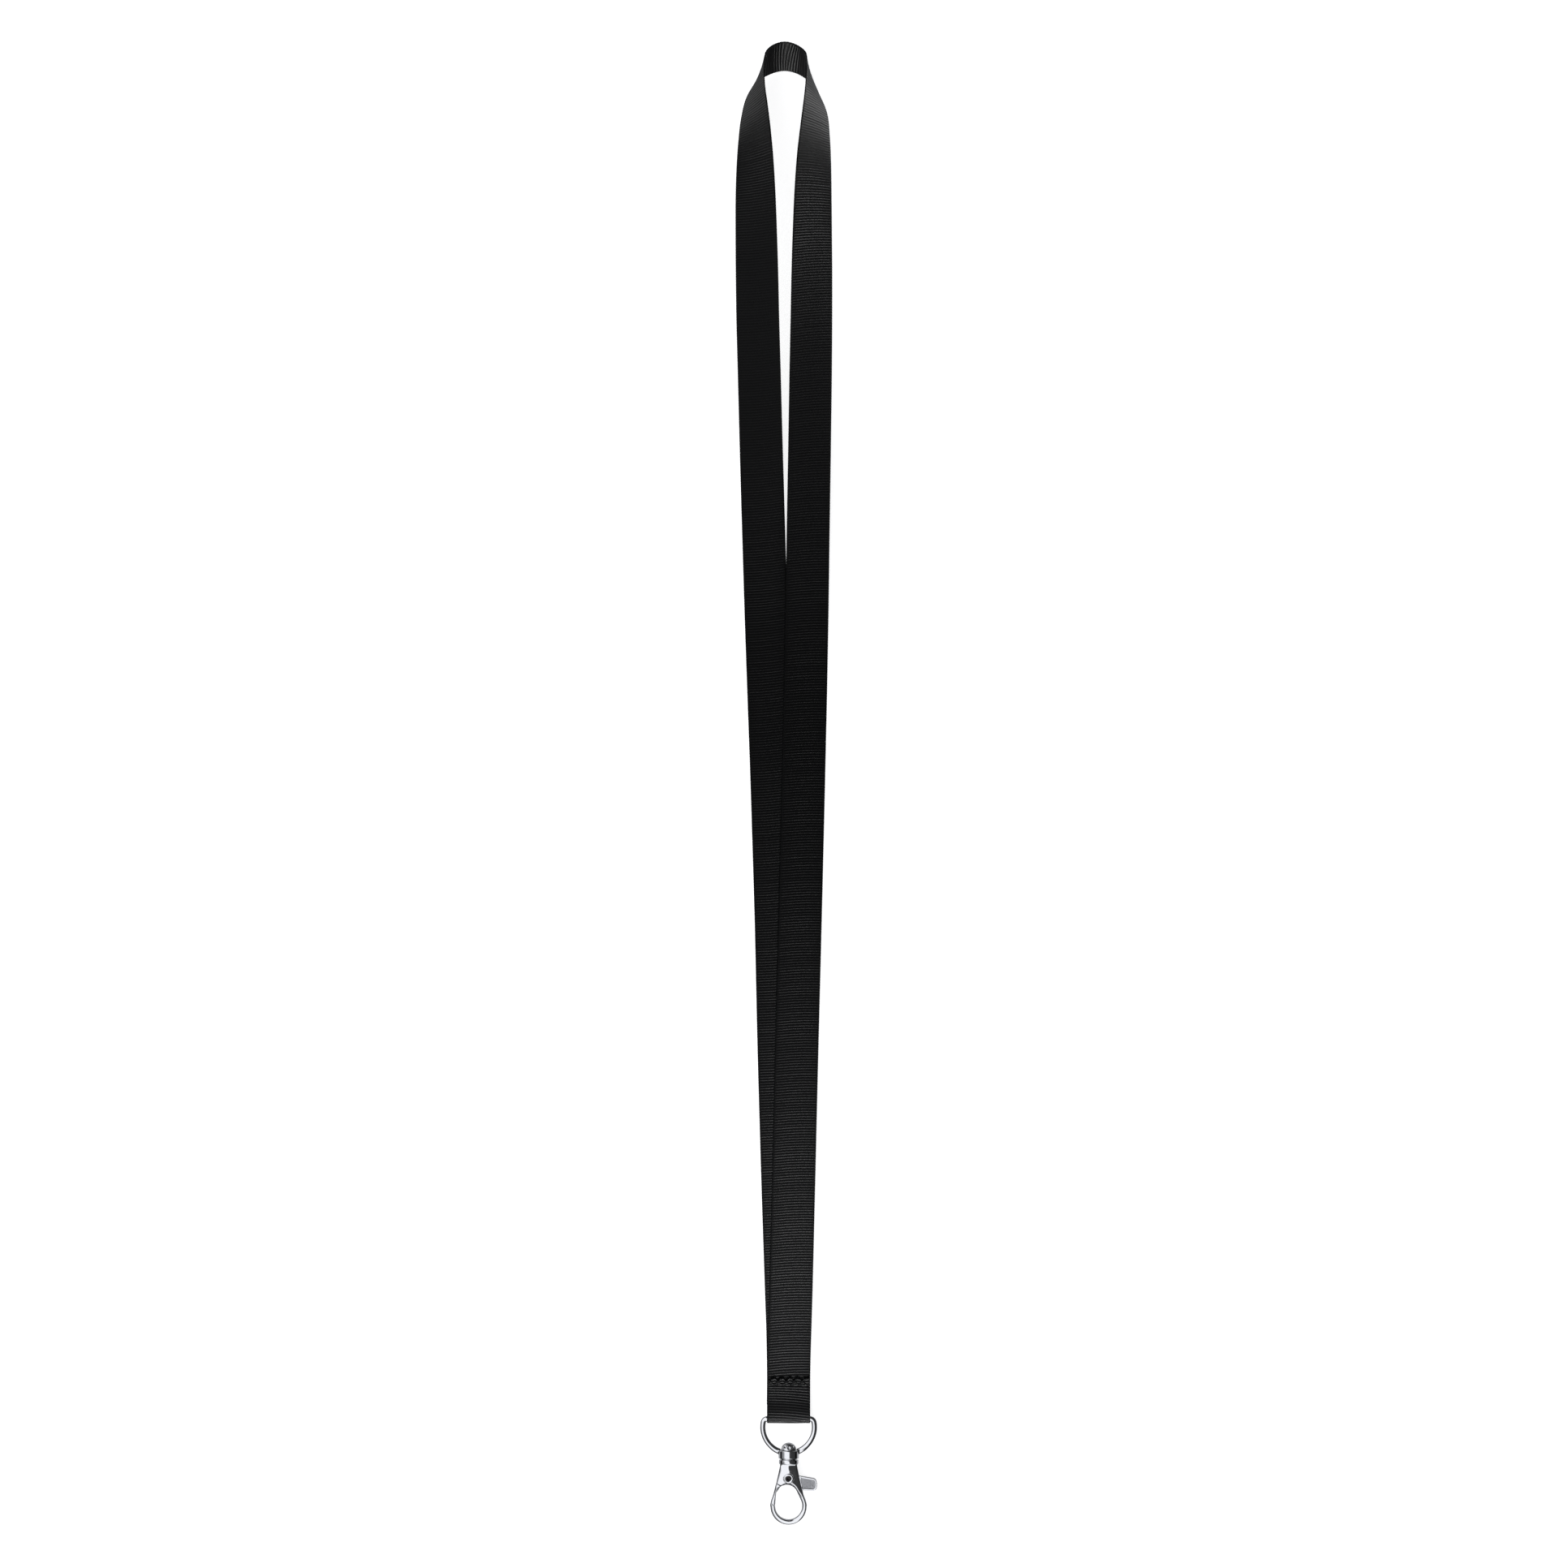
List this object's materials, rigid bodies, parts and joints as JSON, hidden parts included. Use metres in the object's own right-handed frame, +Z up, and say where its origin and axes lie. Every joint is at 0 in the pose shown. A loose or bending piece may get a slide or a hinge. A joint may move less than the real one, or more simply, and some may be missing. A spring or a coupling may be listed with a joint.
{
  "type": "lanyard",
  "caption": "Neck lanyard of flat ribbed ribbon, folded into a loop and stitched round a D-ring that carries a swivelling lobster clasp with a sprung thumb gate.",
  "frame": {"origin": "on the table, under the middle of the whole outline", "axes": "+Z up from the table, +Y along the lanyard from the clasp to the neck end, +X to the side that the clasp's thumb tab is on"},
  "size_m": [0.0336, 0.5139, 0.0262],
  "materials": {
    "ribbon": "ribbed black polyester grosgrain, dull sheen",
    "thread": "black polyester sewing thread",
    "chrome": "bright nickel plate",
    "spring_steel": "drawn spring wire"
  },
  "bodies": {
    "strap": {"ribbon": "ribbon", "needle_thread": "thread", "bobbin_thread": "thread"},
    "ring": {"d_ring": "chrome"},
    "clasp": {"hook_body": "chrome", "swivel_rivet": "chrome", "gate_rivet": "chrome", "gate_spring": "spring_steel"},
    "gate": {"gate_lever": "chrome"}
  },
  "joints": [
    {"name": "d_ring_swing", "type": "hinge", "parent": "strap", "child": "ring", "pos_m": [0.0016, -0.2203, 0.0035], "axis": [1, 0, 0], "range_deg": [-140, 140]},
    {"name": "swivel_spin", "type": "hinge", "parent": "ring", "child": "clasp", "pos_m": [0.0016, -0.2327, 0.0035], "axis": [0, 1, 0], "continuous": true},
    {"name": "gate_swing", "type": "hinge", "parent": "clasp", "child": "gate", "pos_m": [0.0016, -0.24085, 0.0035], "axis": [0, 0, 1], "range_deg": [0, 25], "stiffness_Nm_per_rad": 0.04, "springref_deg": -22.92}
  ]
}
